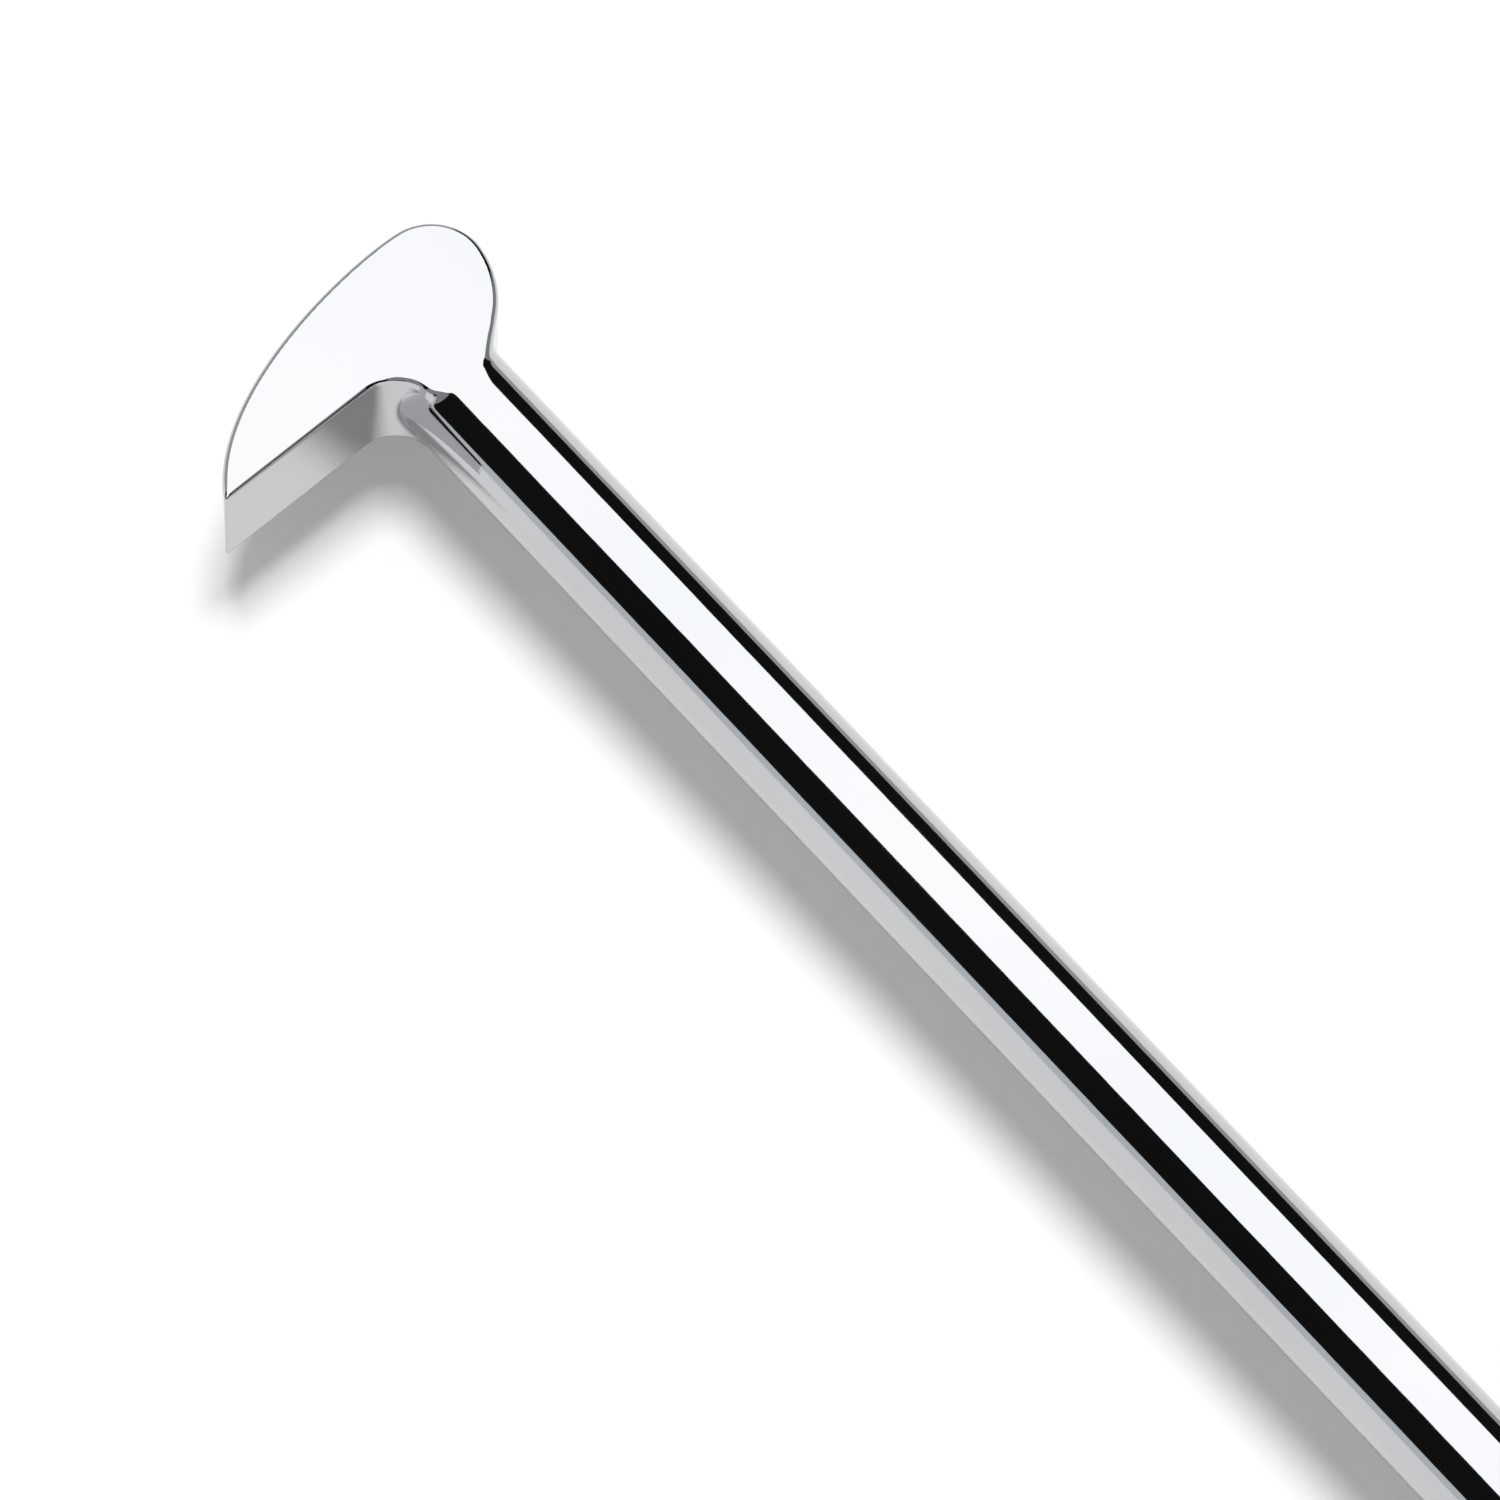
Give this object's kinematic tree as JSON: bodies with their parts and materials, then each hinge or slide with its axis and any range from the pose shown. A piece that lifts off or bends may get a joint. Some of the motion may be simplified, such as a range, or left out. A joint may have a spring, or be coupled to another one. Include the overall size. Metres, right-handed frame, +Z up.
{
  "type": "spudger tool",
  "caption": "Hooked pry spudger: plated round bar with a flat wedge-tipped head and rounded heel, carried in a slim handle with a steel strike cap.",
  "frame": {"origin": "centre of the strike cap's flat end face, on the axis of the bar and handle", "axes": "+X along the tool's axis out of the butt, so the head is at the -X end; +Y to the side of the rounded heel, with the hook's tip to -Y; +Z up, square to the head's flat faces"},
  "size_m": [0.2192, 0.0227, 0.015],
  "materials": {
    "blade_plating": "mirror polished plating",
    "ferrule_plating": "satin plating",
    "core_plastic": "fine moulded grain",
    "sleeve_rubber": "soft matte",
    "washer_steel": "zinc plated",
    "cap_steel": "turned and blued",
    "pin_steel": "ground"
  },
  "bodies": {
    "root": {"pry_blade": "blade_plating", "front_ferrule": "ferrule_plating", "handle_core": "core_plastic", "grip_sleeve": "sleeve_rubber", "end_washer": "washer_steel", "strike_cap": "cap_steel", "cap_pin": "pin_steel"}
  },
  "joints": []
}
